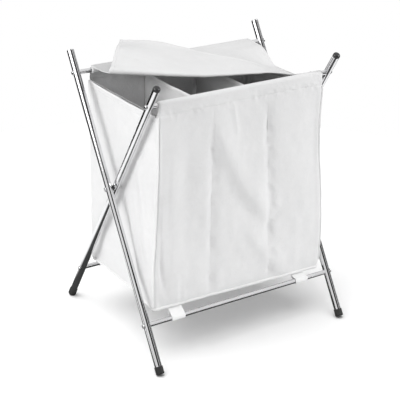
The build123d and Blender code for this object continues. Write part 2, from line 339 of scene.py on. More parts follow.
# %% The weave group
# Over one pair of threads the cloth rises and falls as the product of two sine waves, one along each
# direction, so the high spots sit like a checkerboard. A noise makes some threads thicker.
weave, weave_in, weave_out = new_group(
    "plain weave",
    [("Cloth", "NodeSocketVector", None), ("Threads per metre", "NodeSocketFloat", 1400.0),
     ("Slub", "NodeSocketFloat", 0.35)],
    [("Height", "NodeSocketFloat"), ("Gap shade", "NodeSocketFloat")])
cloth_place, thread_count = weave_in.outputs["Cloth"], weave_in.outputs["Threads per metre"]
parts_of = weave.nodes.new("ShaderNodeSeparateXYZ")
feed(weave, parts_of.inputs[0], cloth_place)
waves = []
for axis in "XY":
    half_turns = math_node(weave, "MULTIPLY", parts_of.outputs[axis], thread_count)
    waves.append(math_node(weave, "SINE", math_node(weave, "MULTIPLY", half_turns, math.pi)))
checker = math_node(weave, "MULTIPLY", *waves)
slub_noise = math_node(weave, "SUBTRACT", noise_node(weave, cloth_place, 420.0, 2.0), 0.5)
slub = math_node(weave, "MULTIPLY", slub_noise, weave_in.outputs["Slub"])
feed(weave, weave_out.inputs["Height"],
     math_node(weave, "ADD", math_node(weave, "MULTIPLY_ADD", checker, 0.5, 0.5), slub))
# painted shade: a mask of the gaps between the threads, which darkens the cloth's colour
gaps = math_node(weave, "SUBTRACT", 1.0, math_node(weave, "ABSOLUTE", checker))
feed(weave, weave_out.inputs["Gap shade"], math_node(weave, "POWER", gaps, 3.0))
print("group", weave.name, "inputs", [s.name for s in weave_in.outputs if s.name])

# %% The uneven tone group
# Two noises of different size, added with weights, give the slow lighter and darker areas of a
# fabric that has been folded, ironed and handled.
tone, tone_in, tone_out = new_group(
    "uneven tone",
    [("Place", "NodeSocketVector", None), ("Broad scale", "NodeSocketFloat", 6.0),
     ("Fine scale", "NodeSocketFloat", 60.0)],
    [("Tone", "NodeSocketFloat"), ("Creases", "NodeSocketFloat")])
broad = noise_node(tone, tone_in.outputs["Place"], tone_in.outputs["Broad scale"], 2.0)
fine = noise_node(tone, tone_in.outputs["Place"], tone_in.outputs["Fine scale"], 4.0, 0.6)
both = math_node(tone, "MULTIPLY_ADD", broad, 0.65, math_node(tone, "MULTIPLY", fine, 0.35))
feed(tone, tone_out.inputs["Tone"], both)
feed(tone, tone_out.inputs["Creases"], ridge_node(tone, fine, 6.0))
print("group", tone.name)

# %% The rubbed marks group
# Handling leaves a faint net of fine marks. The thin lines where a stretched noise passes through
# its middle value are those marks, and a broad noise says where they gather.
marks, marks_in, marks_out = new_group(
    "rubbed marks",
    [("Place", "NodeSocketVector", None), ("Scale", "NodeSocketFloat", 90.0),
     ("Amount", "NodeSocketFloat", 0.5)],
    [("Marks", "NodeSocketFloat"), ("Smudge", "NodeSocketFloat")])
fine_lines = noise_node(marks, marks_in.outputs["Place"], marks_in.outputs["Scale"], 5.0, 0.7)
gather = noise_node(marks, marks_in.outputs["Place"], 14.0, 2.0)
mark_mask = math_node(marks, "MULTIPLY", ridge_node(marks, fine_lines, 14.0), gather)
feed(marks, marks_out.inputs["Marks"], math_node(marks, "MULTIPLY", mark_mask, marks_in.outputs["Amount"]))
feed(marks, marks_out.inputs["Smudge"], gather)
print("group", marks.name)

# %% [markdown]
# ## Finishes
# The cloth is a plain white polyester-cotton weave. It is matt, with a little sheen at grazing angles,
# and its threads only show close up. The cover, the bag, the dividers, the seams and the straps are
# the same white in slightly different weights, so one recipe makes them all with its own values.

# %% Cloth finishes
def new_material(name):
    """A material with its Principled BSDF, ready for values."""
    material = bpy.data.materials.new(name)
    material.use_nodes = True
    return material, material.node_tree, material.node_tree.nodes["Principled BSDF"]


def placed(tree, group, vector, **values):
    """One use of a node group, fed with coordinates and its own values."""
    node = tree.nodes.new("ShaderNodeGroup")
    node.node_tree = group
    tree.links.new(vector, node.inputs[0])
    for label, value in values.items():
        node.inputs[label.replace("_", " ")].default_value = value
    return node


def mix(tree, factor, low, high):
    """Two colours mixed by a factor; each is a colour or another node's output."""
    node = tree.nodes.new("ShaderNodeMix")
    node.data_type = "RGBA"
    feed(tree, node.inputs["Factor"], factor)
    for label, colour in (("A", low), ("B", high)):
        feed(tree, node.inputs[label], (*colour, 1) if isinstance(colour, tuple) else colour)
    return node.outputs["Result"]


def spread(tree, value, from_low, from_high, to_low=0.0, to_high=1.0):
    """The value carried from one range to another, and kept inside it."""
    node = tree.nodes.new("ShaderNodeMapRange")
    for label, number in zip(("Value", "From Min", "From Max", "To Min", "To Max"),
                             (value, from_low, from_high, to_low, to_high)):
        feed(tree, node.inputs[label], number)
    return node.outputs["Result"]


def bumped(tree, shader, *layers):
    """Chains Bump nodes for (height, strength, distance) layers into the shader's normal."""
    normal = None
    for layer in layers:
        node = tree.nodes.new("ShaderNodeBump")
        for label, value in zip(("Height", "Strength", "Distance"), layer):
            feed(tree, node.inputs[label], value)
        if normal is not None:
            tree.links.new(normal, node.inputs["Normal"])
        normal = node.outputs["Normal"]
    tree.links.new(normal, shader.inputs["Normal"])


def cloth(name, dark, light, threads, weave_depth, crease_depth, roughness, broad_scale, fine_scale, sheen):
    """A woven white cloth: threads from the weave with painted shade in the gaps between them, slow tone
    changes and small creases.
    """
    material, tree, shader = new_material(name)
    uv = tree.nodes.new("ShaderNodeUVMap")
    uv.uv_map = "cloth"
    threads_node = placed(tree, weave, uv.outputs["UV"], Threads_per_metre=threads)
    tone_node = placed(tree, tone, uv.outputs["UV"], Broad_scale=broad_scale, Fine_scale=fine_scale)
    # painted shade: the cloth's colour is darker in the gaps between its threads
    painted_gap_shade = math_node(tree, "MULTIPLY", threads_node.outputs["Gap shade"], 0.25)
    tone_with_gap_shade = math_node(tree, "SUBTRACT", spread(tree, tone_node.outputs["Tone"], 0.3, 0.7), painted_gap_shade)
    rough = spread(tree, tone_node.outputs["Tone"], 0.3, 0.7, roughness - 0.05, roughness + 0.05)
    for label, value in (("Base Color", mix(tree, tone_with_gap_shade, dark, light)), ("Roughness", rough),
                         ("Specular IOR Level", 0.25), ("Sheen Weight", sheen), ("Sheen Roughness", 0.45)):
        feed(tree, shader.inputs[label], value)
    bumped(tree, shader, (tone_node.outputs["Creases"], 0.35, crease_depth),
           (threads_node.outputs["Height"], 0.5, weave_depth))
    return material


BAG_CLOTH = cloth("white bag cloth", (0.735, 0.735, 0.738), (0.800, 0.800, 0.802), 1500, 0.00012, 0.0009,
                  0.84, 7, 55, 0.12)
DIVIDER_CLOTH = cloth("white divider cloth", (0.70, 0.70, 0.70), (0.77, 0.77, 0.772), 1250, 0.00014, 0.0008,
                      0.88, 6, 50, 0.08)
COVER_CLOTH = cloth("white cover cloth", (0.735, 0.735, 0.737), (0.795, 0.795, 0.797), 1500, 0.00012, 0.0005,
                    0.82, 5, 38, 0.12)
SEAM_CLOTH = cloth("white seam binding", (0.80, 0.80, 0.80), (0.86, 0.86, 0.86), 1900, 0.00012, 0.0004,
                   0.80, 20, 160, 0.10)
WEBBING = cloth("white strap webbing", (0.82, 0.82, 0.82), (0.88, 0.88, 0.88), 900, 0.00030, 0.0003,
                0.78, 18, 120, 0.10)
print("cloth finishes", [m.name for m in (BAG_CLOTH, DIVIDER_CLOTH, COVER_CLOTH, SEAM_CLOTH, WEBBING)])

# %% [markdown]
# The sewing thread is a smooth polyester, a touch whiter than the cloth. It is too thin for a weave,
# so a fine twist along the Object coordinates is enough.

# %% Thread finish
THREAD, thread_tree, thread_shader = new_material("white sewing thread")
thread_place = thread_tree.nodes.new("ShaderNodeTexCoord")
thread_twist = noise_node(thread_tree, thread_place.outputs["Object"], 1800.0, 1.0)
feed(thread_tree, thread_shader.inputs["Base Color"],
     mix(thread_tree, thread_twist, (0.72, 0.72, 0.72), (0.9, 0.9, 0.9)))
thread_shader.inputs["Roughness"].default_value = 0.55
bumped(thread_tree, thread_shader, (thread_twist, 0.4, 0.0001))

# %% [markdown]
# Chrome plating is a mirror with a slight grey tint. What makes it look real is what it reflects, so
# the studio has a dark side, but the metal also has faint smudges that soften some reflections, and
# small marks where the bars and the bag rub.

# %% Hard finishes
def hard(name, dark, light, metal, rough_low, rough_high, marks_scale, marks_amount, depth, coat=0.0):
    """A hard surface: its tone and roughness follow the smudges, and the rubbed marks press into it."""
    material, tree, shader = new_material(name)
    place = tree.nodes.new("ShaderNodeTexCoord")
    marks_node = placed(tree, marks, place.outputs["Object"], Scale=marks_scale, Amount=marks_amount)
    smudge = spread(tree, marks_node.outputs["Smudge"], 0.35, 0.65)
    worn = math_node(tree, "MAXIMUM", smudge, marks_node.outputs["Marks"])
    for label, value in (("Base Color", mix(tree, worn, dark, light)), ("Metallic", metal),
                         ("Roughness", spread(tree, worn, 0.0, 1.0, rough_low, rough_high)),
                         ("Coat Weight", coat), ("Coat Roughness", 0.15)):
        feed(tree, shader.inputs[label], value)
    bumped(tree, shader, (marks_node.outputs["Marks"], 0.2, depth))
    return material


CHROME = hard("chromed tube", (0.72, 0.72, 0.73), (0.80, 0.80, 0.81), 1.0, 0.05, 0.12, 120, 0.6, 0.00001)
PLATED_BOLT = hard("plated bolt", (0.55, 0.55, 0.56), (0.66, 0.66, 0.66), 1.0, 0.16, 0.32, 260, 0.8, 0.00006)
RUBBER = hard("black rubber", (0.012, 0.012, 0.012), (0.028, 0.028, 0.027), 0.0, 0.52, 0.75, 210, 1.0, 0.0001)
CAP_PLASTIC = hard("black cap plastic", (0.010, 0.010, 0.011), (0.024, 0.024, 0.025), 0.0, 0.28, 0.42,
                   180, 0.8, 0.00005, 0.2)
PLUG_PLASTIC = hard("silver plug plastic", (0.50, 0.50, 0.51), (0.60, 0.60, 0.61), 0.55, 0.30, 0.42,
                    180, 0.6, 0.00005)
INSERT_PLASTIC = hard("dark insert plastic", (0.07, 0.07, 0.08), (0.12, 0.12, 0.13), 0.0, 0.40, 0.55,
                      180, 0.6, 0.00005)
SPACER_PLASTIC = hard("dark spacer plastic", (0.03, 0.03, 0.03), (0.06, 0.06, 0.06), 0.0, 0.40, 0.55,
                      180, 0.6, 0.00005)

FINISH_OF_SLOT = {
    "chrome_tube": CHROME, "plated_bolt": PLATED_BOLT, "plated_nut": PLATED_BOLT,
    "insert_plastic": INSERT_PLASTIC, "spacer_plastic": SPACER_PLASTIC, "foot_rubber": RUBBER,
    "cap_plastic": CAP_PLASTIC, "plug_plastic": PLUG_PLASTIC, "bag_cloth": BAG_CLOTH,
    "divider_cloth": DIVIDER_CLOTH, "cover_cloth": COVER_CLOTH, "strap_webbing": WEBBING,
}
subparts = frame["record"]["subparts"]
for entry in subparts:
    nodes[entry["node"]].data.materials.clear()
    nodes[entry["node"]].data.materials.append(FINISH_OF_SLOT[entry["material_slot"]])
print("CAD nodes dressed", len(subparts))


def finish_piece(piece, material, slot, body, *stands_for):
    """Dresses a new cloth piece, puts it on its body, and hides the CAD nodes it stands for."""
    piece.data.materials.clear()
    piece.data.materials.append(material)
    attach(piece, body)
    if stands_for:
        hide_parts(*stands_for)
    return piece


# %% [markdown]
# ## The bag
# The real bag is one sack: a strip of cloth runs all the way round as front, sides and back, and its
# lower edge is sewn to a base. Its front and back walls go up and over the top bars, and its sides end
# lower down in a hem. So the walls are one lofted surface here. One direction runs round the bag and
# the other runs up it, and small pushes out and in along the surface's normal make the folds.

# %% The line round the bag
CORNER_RADIUS = 0.011
FRONT_COLUMNS, SIDE_COLUMNS, BACK_COLUMNS, CORNER_COLUMNS = 128, 64, 76, 7


def plan_line():
    """The rounded rectangle of the bag's walls seen from above, from the front left corner on: points
    and outward normals."""
    w, d, r = HALF_WIDTH - CORNER_RADIUS, WALL_Y - CORNER_RADIUS, CORNER_RADIUS
    corners = [(-w, -d, 180, 270), (w, -d, 270, 360), (w, d, 0, 90), (-w, d, 90, 180)]
    counts = [FRONT_COLUMNS, SIDE_COLUMNS, BACK_COLUMNS, SIDE_COLUMNS]
    points, normals = [], []
    for k, (cx, cy, low, high) in enumerate(corners):
        angle = np.radians(np.linspace(low, high, CORNER_COLUMNS))
        n = np.stack([np.cos(angle), np.sin(angle)], -1)
        points.append(np.array([cx, cy]) + r * n)
        normals.append(n)
        nx, ny = corners[(k + 1) % 4][:2]
        begin, end = points[-1][-1], np.array([nx, ny]) + r * n[-1]
        t = np.linspace(0, 1, counts[k] + 1)[1:-1, None]
        points.append(begin + (end - begin) * t)
        normals.append(np.repeat(n[-1:], counts[k] - 1, 0))
    return np.concatenate(points), np.concatenate(normals)


plan, plan_normal = plan_line()
plan_along = lengths(np.vstack([plan, plan[:1]]))
long_wall = ease(np.abs(plan_normal[:, 1]), 0.25, 0.95)
print("round the bag", len(plan), "columns,", round(plan_along[-1], 3), "m")

# %% [markdown]
# The folds come from how the bag hangs. The hem is gathered by its stitching, the two dividers pull
# the front in along two seams, one soft ridge runs slantwise over the middle compartment, and the left
# edge stands proud of a shallow trough. Low down the sack is a little wider than between the legs.

# %% The folds of the bag
HEM_DEPTH = 0.026
SEAM_TOP, SEAM_LOW = (-0.094, 0.079), (-0.087, 0.096)


def seam_x(number, z):
    """Where a divider's seam runs on the front wall: a straight line from its top to its foot."""
    share = np.clip((TOP_Z - z) / (TOP_Z - BAG_FLOOR_Z), 0, 1)
    return SEAM_TOP[number] + (SEAM_LOW[number] - SEAM_TOP[number]) * share


def fold_line(x, z, start, end, height, width, steep=1.0, bow=0.0):
    """A soft ridge along a line: a bell curve across it, steeper on its lower side by the factor
    steep, that fades out towards both ends. The line bows to its lower side as a parabola by bow."""
    a, b = np.array(start), np.array(end)
    d = (b - a) / np.linalg.norm(b - a)
    along = ((x - a[0]) * d[0] + (z - a[1]) * d[1]) / np.linalg.norm(b - a)
    across = -(x - a[0]) * d[1] + (z - a[1]) * d[0]
    across = across + bow * 4 * np.clip(along, 0, 1) * (1 - np.clip(along, 0, 1))
    wide = np.where(across > 0, width, width / steep)
    fade = ease(along, -0.12, 0.18) * (1 - ease(along, 0.80, 1.12))
    return height * bump(across, wide) * fade


def hang(x, y):
    """How far the lower edge hangs below the CAD's flat underside: most at the front right."""
    front = ease(y, 0.10, -0.16)
    return -0.0045 - front * (0.0035 + 0.0120 * ease(x, -0.25, 0.27))


# each fold's start, end, height and width, then its steepness and bow if it isn't plain
FRONT_FOLDS = [
    ((-0.094, 0.640), (0.092, 0.332), 0.0145, 0.042, 1.9, 0.018),
    ((0.020, 0.322), (0.106, 0.190), 0.0068, 0.028, 1.6),
    ((-0.033, 0.668), (-0.022, 0.590), 0.0034, 0.007),
    ((-0.234, 0.655), (-0.205, 0.165), 0.0135, 0.048, 2.7),
    ((-0.256, 0.560), (-0.232, 0.165), -0.0030, 0.010),
    ((-0.258, 0.300), (-0.226, 0.158), 0.0042, 0.009),
    ((-0.196, 0.240), (-0.190, 0.150), 0.0032, 0.008),
    ((-0.172, 0.215), (-0.170, 0.150), 0.0018, 0.007),
    ((0.128, 0.560), (0.235, 0.330), 0.0030, 0.040)]
BACK_FOLDS = [
    ((0.120, 0.640), (-0.050, 0.300), 0.0090, 0.034, 1.8, 0.015),
    ((-0.215, 0.560), (-0.120, 0.240), 0.0070, 0.030, 1.8),
    ((0.235, 0.600), (0.205, 0.180), 0.0060, 0.030, 2.0)]
SIDE_FOLDS = [
    ((0.160, 0.668), (0.118, 0.520), 0.0030, 0.006),
    ((0.148, 0.660), (0.105, 0.530), -0.0022, 0.008),
    ((-0.035, 0.425), (-0.125, 0.200), 0.0085, 0.022, 1.5),
    ((-0.080, 0.530), (-0.145, 0.280), 0.0065, 0.016),
    ((0.060, 0.400), (0.115, 0.190), 0.0050, 0.024),
    ((0.040, 0.620), (0.000, 0.480), 0.0035, 0.026)]
BACK_SEAMS = (-0.085, 0.085)
SEAM_WIDTH = 0.015


def billow(x, z, depth):
    """The shallow bow of a whole wall: a parabola across it that fades out under the top bar."""
    return depth * (1 - (x / HALF_WIDTH) ** 2) * ease(TOP_Z - z, 0.0, 0.25)


def hem_gathers(x, z, lean_fine, lean_broad, seed):
    """Puckers of two sizes in the upper hem: random heights under a bell curve round its middle."""
    fine_part = crumple(x + lean_fine * z, z, 0.010, 0.014, seed)
    broad_part = crumple(x + lean_broad * z, z, 0.023, 0.030, seed + 1)
    return (fine_part + 0.8 * broad_part) * bump(TOP_Z - z - 0.020, 0.022)


def front_push(x, z):
    """How far the front wall stands out, in metres, at each place."""
    push, below_hem = billow(x, z, 0.0045), ease(TOP_Z - z, 0.03, 0.10)
    for number in (0, 1):
        off_seam = x - seam_x(number, z)
        push = push - 0.0068 * bump(off_seam, SEAM_WIDTH) * below_hem
        puckers = crumple(x * 0.7 + z * 0.7, z * 0.7 - x * 0.7, 0.013, 0.016, 11 + number)
        push = push + 0.0019 * puckers * bump(off_seam - 0.006, 0.020) * below_hem
    push = push + sum(fold_line(x, z, *fold) for fold in FRONT_FOLDS)
    small = crumple(x, z, 0.022, 0.034, 4) * (0.5 + 0.5 * ease(z, 0.62, 0.30))
    push = push + 0.0038 * crumple(x, z, 0.060, 0.100, 3) + 0.0016 * small
    return push + 0.0026 * hem_gathers(x, z, 0.2, -0.3, 5)


def back_push(x, z):
    """The back wall is plainer: a shallow billow, its two seams and three broad folds."""
    push = billow(x, z, 0.004)
    for seam in BACK_SEAMS:
        push = push - 0.006 * bump(x - seam, SEAM_WIDTH) * ease(TOP_Z - z, 0.03, 0.10)
    push = push + sum(fold_line(x, z, *fold) for fold in BACK_FOLDS)
    push = push + 0.0030 * crumple(x, z, 0.060, 0.100, 23) + 0.0013 * crumple(x, z, 0.024, 0.034, 24)
    return push + 0.0018 * hem_gathers(x, z, 0.0, 0.0, 25)


def side_push(y, z, right):
    """The side walls: folds that run down from the pivot, and one fine fold from the back corner."""
    push = -0.0045 * ease(z, 0.46, 0.18) * ease(y, -0.06, 0.12)
    push = push + sum(fold_line(y, z, *fold) for fold in SIDE_FOLDS)
    seed = 43 if right else 33
    push = push + 0.0013 * crumple(y, z, 0.050, 0.080, seed) + 0.0006 * crumple(y, z, 0.020, 0.030, seed + 1)
    return push * (0.8 if right else 1.0)


# %% [markdown]
# A column of the bag's wall starts at the base, goes straight up, and on the front and back turns over
# the sleeve. Its height is measured along the cloth, so the part past the bar's axis is an arc.

# %% The walls of the bag
WRAP_START = 0.0097
WRAP_END = SLEEVE_RADIUS + 0.0006
WRAP_ANGLE = math.radians(104)
ROUND_FOOT, ROUND_CORNER = 0.010, 0.026
STRAIGHT_UP, SIDE_UP = TOP_Z - BAG_FLOOR_Z, SIDE_TOP_Z - BAG_FLOOR_Z
SIDE_DIP, SIDE_HEM_DEPTH, SEAM_GROOVE = 0.0065, 0.016, 0.0022
CLOTH_THICKNESS = 0.0011


def flare(x, y, z):
    """How much wider the bag is low down at the front: most at the front corners, nothing at the back."""
    share = ease(z, 0.60, 0.19) * ease(y, 0.0, -0.165)
    return np.where(x < 0, 0.014, 0.023) * share + 0.002 * ease(z, 0.60, 0.70)


def rounded(height, radius):
    """How far an edge rounded by a quarter circle stands back, at a height above its lowest line."""
    short = 1 - np.clip(height / radius, 0, 1)
    return radius * (1 - np.sqrt(1 - short**2))


def wall_point(plan_xy, normal, along_wall, height, right):
    """A point of the wall for a place on the plan and a height along the cloth above the base."""
    rise = np.minimum(height, STRAIGHT_UP)
    x0, y0 = plan_xy[:, 0], plan_xy[:, 1]
    z = BAG_FLOOR_Z + rise
    push = (along_wall * (y0 < 0) * front_push(x0, z) + along_wall * (y0 > 0) * back_push(x0, z)
            + (1 - along_wall) * side_push(y0, z, right))
    # near the bar and the base the folds flatten out, and the top leans in to meet the bar
    push = push * (0.06 + 0.94 * ease(TOP_Z - z, 0.0, 0.034) * ease(rise, 0.0, 0.03))
    push = push - along_wall * (WALL_Y - TOP_Y - WRAP_START) * ease(z, TOP_Z - 0.035, TOP_Z)
    corner = 1 - ease(np.hypot(np.abs(x0) - HALF_WIDTH, np.abs(y0) - WALL_Y), 0.006, 0.020)
    push = push + 0.0022 * corner * ease(SIDE_TOP_Z - z, 0.0, 0.05) - rounded(rise, ROUND_FOOT)
    x, y = x0 + normal[:, 0] * push, y0 + normal[:, 1] * push
    x = x + np.clip(x0 / HALF_WIDTH, -1, 1) * flare(x0, y0, z)
    slump = rounded(rise, ROUND_CORNER) * np.where(y0 < 0, 0.75, 0.45)
    x = x - np.sign(x0) * slump * ease(np.abs(x0), HALF_WIDTH - 0.04, HALF_WIDTH)
    z = z + hang(x0, y0) * (1 - ease(rise, 0.0, 0.34))
    # past the bar's axis the height turns into an angle round the sleeve
    over = np.clip(height - STRAIGHT_UP, 0, None) / WRAP_START
    radius = WRAP_START + (WRAP_END - WRAP_START) * ease(over, 0.1, 1.4)
    wrap_y = np.sign(y0) * (TOP_Y + radius * np.cos(over))
    off_bar = y - np.sign(y0) * (TOP_Y + WRAP_START)
    y = np.where(over > 0, wrap_y + off_bar * (1 - ease(over, 0, 0.8)), y)
    return np.stack([x, y, np.where(over > 0, TOP_Z + radius * np.sin(over), z)], -1)


side_share = 1 - long_wall
FULL_UP = STRAIGHT_UP + WRAP_START * WRAP_ANGLE
side_dip = SIDE_DIP * np.clip(1 - (plan[:, 1] / TOP_Y) ** 2, 0, 1)
top_height = long_wall * FULL_UP + side_share * SIDE_UP - side_share * side_dip

HEM_SHARE = (STRAIGHT_UP - HEM_DEPTH) / FULL_UP
row_share = np.concatenate([
    np.linspace(0, 0.02, 6), np.linspace(0.02, HEM_SHARE - 0.012, 92)[1:],
    np.linspace(HEM_SHARE - 0.012, HEM_SHARE + 0.012, 10)[1:], np.linspace(HEM_SHARE + 0.012, 1, 20)[1:]])
row_height = row_share[:, None] * top_height
wall_grid = np.empty((*row_height.shape, 3))
for right in (False, True):
    mine = (plan[:, 0] > 0) == right
    wall_grid[:, mine] = wall_point(plan[mine], plan_normal[mine], long_wall[mine], row_height[:, mine], right)

# the stitching presses a shallow groove into the hems
groove = bump(row_height - (STRAIGHT_UP - HEM_DEPTH), SEAM_GROOVE) * long_wall
side_groove = bump(top_height - row_height - SIDE_HEM_DEPTH, SEAM_GROOVE) * side_share
wall_grid[..., :2] -= plan_normal * (0.0009 * (groove + side_groove))[..., None]
bag_walls = surface("bag_walls", wall_grid, plan_along, row_share * (STRAIGHT_UP + 0.02), round_u=True)
thicken(bag_walls, CLOTH_THICKNESS)
finish_piece(bag_walls, BAG_CLOTH, "bag_cloth", "bag",
             "bag_front_panel", "bag_back_panel", "bag_left_panel", "bag_right_panel")
print("bag walls", wall_grid.shape[:2], "faces", len(bag_walls.data.polygons))

# %% [markdown]
# ## The base of the bag
# The base is a panel sewn to the walls' lower edge. It hangs between the straps, so it sags a little.
# Rings of the walls' own foot line, drawn in towards the middle, make a panel that fits them exactly.

# %% The base of the bag
BASE_RINGS = 45
foot_ring = wall_grid[0]
ring_share = (np.linspace(1.0, 0.0, BASE_RINGS + 1)[:-1] ** 0.8)[:, None]
centre = np.array([foot_ring[:, 0].mean(), 0.0, BAG_FLOOR_Z])
base_rings = centre + (foot_ring - centre) * ring_share[..., None]
slack = 0.0020 * crumple(base_rings[..., 0], base_rings[..., 1], 0.06, 0.06, 61) * (1 - ring_share)
base_rings[..., 2] = BAG_FLOOR_Z + (foot_ring[:, 2] - BAG_FLOOR_Z) * ease(ring_share, 0.0, 1.0) + slack
base_points = np.concatenate([base_rings.reshape(-1, 3), base_rings[-1:].mean(1)])
index = numbered(*base_rings.shape[:2])
index = np.hstack([index, index[:, :1]])
quads = grid_faces(index)[:, [0, 3, 2, 1]]
fan = np.stack([index[-1, :-1], np.full(len(foot_ring), len(base_points) - 1), index[-1, 1:]], -1)
base_faces = quads.tolist() + fan.tolist()
corner_index = np.concatenate([quads.ravel(), fan.ravel()])
bag_base = mesh_object("bag_base", base_points, base_faces, base_points[corner_index][:, :2])
thicken(bag_base, CLOTH_THICKNESS)
finish_piece(bag_base, BAG_CLOTH, "bag_cloth", "bag", "bag_floor")
print("bag base", len(base_faces), "faces, lowest", round(float(base_points[:, 2].min()), 4))

# %% [markdown]
# ## Dividers
# Two panels of the same cloth part the bag into three. They are sewn to the front and back walls and to
# the base, and their top edges hang a little slack, so each is a sheet hung between its seams.

# %% The two dividers
DIVIDER_SLACK, DIVIDER_INSET = 0.012, 0.0045
DIVIDER_ROWS, DIVIDER_COLUMNS = 110, 76


def divider(name, number, node, seed):
    """A sheet between the front seam and the back seam: its top edge sags as a parabola and its face
    waves a little from side to side."""
    y_line = np.linspace(-WALL_Y + DIVIDER_INSET, WALL_Y - DIVIDER_INSET, DIVIDER_COLUMNS)
    share = np.linspace(0, 1, DIVIDER_ROWS)
    y, s = np.meshgrid(y_line, share)
    top = SIDE_TOP_Z + 0.004 - DIVIDER_SLACK * (1 - (y / WALL_Y) ** 2)
    hanging = hang(seam_x(number, BAG_FLOOR_Z), y) * ease(np.abs(y), 0.04, WALL_Y)
    low = BAG_FLOOR_Z + DIVIDER_INSET + hanging
    z = low + (top - low) * s
    to_front = (WALL_Y - y) / (2 * WALL_Y)
    x = seam_x(number, z) * to_front + BACK_SEAMS[number] * (1 - to_front)
    wave = (0.0060 * np.sin(y * 21 + seed) * s + 0.0040 * crumple(y, z, 0.09, 0.14, seed)
            + 0.0012 * crumple(y, z, 0.03, 0.05, seed + 1))
    x = x + wave * (1 - (y / WALL_Y) ** 2) * ease(s, 0.0, 0.2)
    points = np.stack([x, y, z], -1)
    piece = surface(name, points, y_line + 1, share * SIDE_UP)
    thicken(piece, 0.0010, 0.0)
    finish_piece(piece, DIVIDER_CLOTH, "divider_cloth", "bag", node)
    hem = band(f"{name}_hem", points[-1] - UP * 0.003, UP, ACROSS, 0.0030, 0.0110)
    finish_piece(hem, SEAM_CLOTH, "divider_cloth", "bag")
    return piece, hem


left_divider, left_divider_hem = divider("divider_sheet_left", 0, "divider_left", 71)
right_divider, right_divider_hem = divider("divider_sheet_right", 1, "divider_right", 83)
print("dividers", left_divider.name, right_divider.name)

# %% [markdown]
# ## Seams, hems and stitching
# A narrow binding closes the lower edge of the bag all round, four seams stand up along the corners,
# and the sides' upper edges are rolled hems. Each follows a line taken from the walls, so it lies
# exactly on the cloth. Rows of real stitches hold the hems.

# %% Bindings and seams
def out_of(normals):
    """Plan normals as directions in space."""
    return np.concatenate([normals, np.zeros((len(normals), 1))], 1)


def side_columns(right):
    """The columns of one side wall, between its corners."""
    return np.where((side_share > 0.98) & ((plan[:, 0] > 0) == right))[0]


BINDING_ROW = 4
foot_out = out_of(plan_normal)
binding = band("base_binding", wall_grid[BINDING_ROW] + foot_out * 0.0006 - UP * 0.0005, foot_out, UP,
               0.0085, 0.0042, closed=True)
finish_piece(binding, SEAM_CLOTH, "bag_cloth", "bag")

corner_columns = np.cumsum([CORNER_COLUMNS // 2, CORNER_COLUMNS + FRONT_COLUMNS - 1,
                            CORNER_COLUMNS + SIDE_COLUMNS - 1, CORNER_COLUMNS + BACK_COLUMNS - 1])
corner_seams = []
for name, column in zip(("front_left", "front_right", "back_right", "back_left"), corner_columns):
    rows_z = wall_grid[:, column, 2]
    path = wall_grid[(rows_z < SIDE_TOP_Z - 0.002) & (rows_z > BAG_FLOOR_Z + 0.004), column]
    out = out_of(plan_normal[column:column + 1])
    side = np.cross(out, UP)
    wobble = 0.0006 * crumple(path[:, 2], path[:, 2] * 0, 0.03, 0.03, 90 + column)
    seam = band(f"corner_seam_{name}", path + out * 0.0012 + side * wobble[:, None], out, side, 0.0030, 0.0062)
    corner_seams.append(finish_piece(seam, SEAM_CLOTH, "bag_cloth", "bag"))

side_hems = []
for name, right in (("left", False), ("right", True)):
    out = out_of(plan_normal[side_columns(right)])
    path = wall_grid[-1, side_columns(right)] - out * 0.0005 - UP * 0.0018
    hem = band(f"side_hem_{name}", path, UP, out, 0.0038, 0.0056)
    side_hems.append(finish_piece(hem, SEAM_CLOTH, "bag_cloth", "bag"))
print("binding, corner seams and hems", 1 + len(corner_seams) + len(side_hems))

# %% Stitching on the bag
STITCH_STAND_OUT = 0.0004


def stitch_row(row, columns):
    """One row of the walls as a line to stitch: points just off the cloth, and the way out."""
    out = out_of(plan_normal[columns])
    return wall_grid[row, columns] + out * STITCH_STAND_OUT, out


hem_row = int(np.argmin(np.abs(row_share - HEM_SHARE)))
side_row = int(np.argmin(np.abs((1 - row_share) * SIDE_UP - SIDE_HEM_DEPTH)))
lines = [stitch_row(hem_row, np.where((long_wall > 0.98) & ((plan[:, 1] < 0) == front))[0])
         for front in (True, False)]
lines += [stitch_row(side_row, side_columns(right)) for right in (False, True)]
seam_rows = np.where((row_share > 0.03) & (row_share < HEM_SHARE - 0.01))[0]
front_part = np.arange(CORNER_COLUMNS, CORNER_COLUMNS + FRONT_COLUMNS - 1)
front_wall = wall_grid[seam_rows][:, front_part]
for number in (0, 1):
    places = seam_x(number, front_wall[..., 2].mean(1))
    path = np.array([at_places(place, plan[front_part, 0], row) for place, row in zip(places, front_wall)])
    out = np.array([[0.0, -1.0, 0.0]]).repeat(len(path), 0)
    lines.append((path + out * STITCH_STAND_OUT, out))
bag_stitching = stitches("bag_stitching", lines)
finish_piece(bag_stitching, THREAD, "bag_cloth", "bag")
print("stitches on the bag", len(bag_stitching.data.polygons) // 20)

# %% [markdown]
# ## Sleeves
# The bag is threaded on the two top bars: the cloth goes over each bar and forms a sleeve round it. The
# sleeves are tubes of cloth with soft rings where the gathers pull, closed at their ends by a turned
# edge, and each moves with its own bar.

